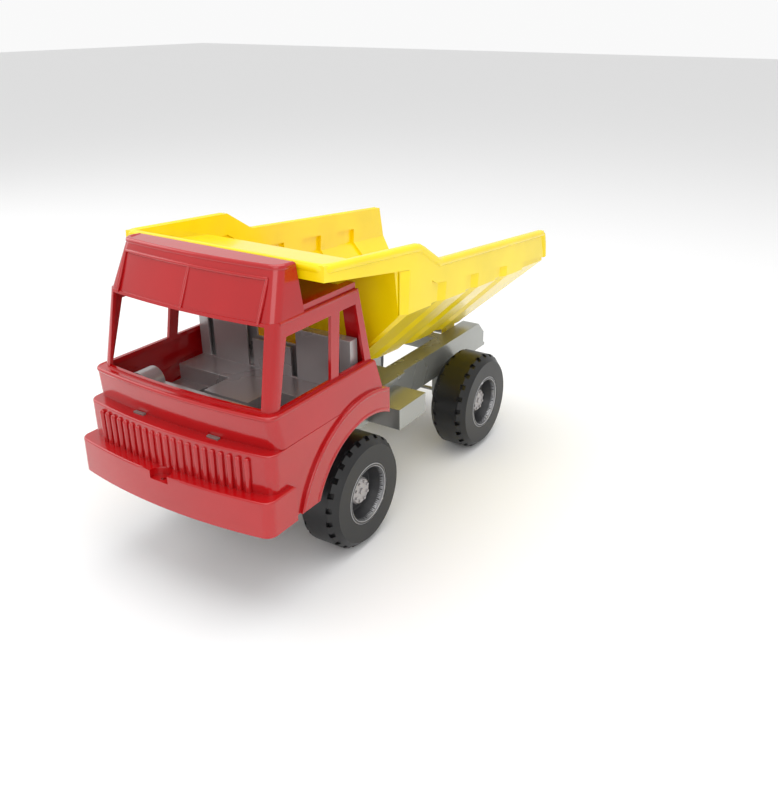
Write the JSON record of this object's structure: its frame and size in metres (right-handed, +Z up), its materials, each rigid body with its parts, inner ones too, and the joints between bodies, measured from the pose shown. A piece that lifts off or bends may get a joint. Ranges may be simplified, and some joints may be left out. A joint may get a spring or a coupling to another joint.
{
  "type": "toy dump truck",
  "caption": "Toy dump truck with an open ribbed tipping tub, a hollow cab with a seat moulding, a railed chassis and free-rolling lugged wheels.",
  "frame": {"origin": "on the ground, under the middle of the truck's length and width", "axes": "+X towards the truck's own left side, -Y towards the nose, +Z up"},
  "size_m": [0.216, 0.466, 0.265],
  "materials": {
    "red_plastic": "glossy moulded plastic",
    "yellow_plastic": "glossy moulded plastic",
    "silver_plastic": "satin metallic moulded plastic",
    "grey_plastic": "satin metallic moulded plastic",
    "tyre": "smooth black rubber-like tread",
    "steel": "drawn rod"
  },
  "bodies": {
    "chassis": {"chassis_frame": "silver_plastic", "cab_shell": "red_plastic", "seat_moulding": "grey_plastic", "tub_hinge_rod": "steel", "front_axle": "steel", "rear_axle": "steel", "axle_push_caps": "steel", "cab_screws": "steel"},
    "tub": {"dump_tub": "yellow_plastic"},
    "wheel_front_left": {"tyre_front_left": "tyre", "wheel_rim_front_left": "silver_plastic", "hub_cap_front_left": "grey_plastic"},
    "wheel_front_right": {"tyre_front_right": "tyre", "wheel_rim_front_right": "silver_plastic", "hub_cap_front_right": "grey_plastic"},
    "wheel_rear_left": {"tyre_rear_left": "tyre", "wheel_rim_rear_left": "silver_plastic", "hub_cap_rear_left": "grey_plastic"},
    "wheel_rear_right": {"tyre_rear_right": "tyre", "wheel_rim_rear_right": "silver_plastic", "hub_cap_rear_right": "grey_plastic"}
  },
  "joints": [
    {"name": "tub_tip", "type": "hinge", "parent": "chassis", "child": "tub", "pos_m": [0, 0.183, 0.092], "axis": [-1, 0, 0], "range_deg": [0, 50]},
    {"name": "wheel_spin_front_left", "type": "hinge", "parent": "chassis", "child": "wheel_front_left", "pos_m": [0.078, -0.095, 0.05], "axis": [1, 0, 0], "continuous": true},
    {"name": "wheel_spin_front_right", "type": "hinge", "parent": "chassis", "child": "wheel_front_right", "pos_m": [-0.078, -0.095, 0.05], "axis": [1, 0, 0], "continuous": true},
    {"name": "wheel_spin_rear_left", "type": "hinge", "parent": "chassis", "child": "wheel_rear_left", "pos_m": [0.078, 0.121, 0.05], "axis": [1, 0, 0], "continuous": true},
    {"name": "wheel_spin_rear_right", "type": "hinge", "parent": "chassis", "child": "wheel_rear_right", "pos_m": [-0.078, 0.121, 0.05], "axis": [1, 0, 0], "continuous": true}
  ]
}
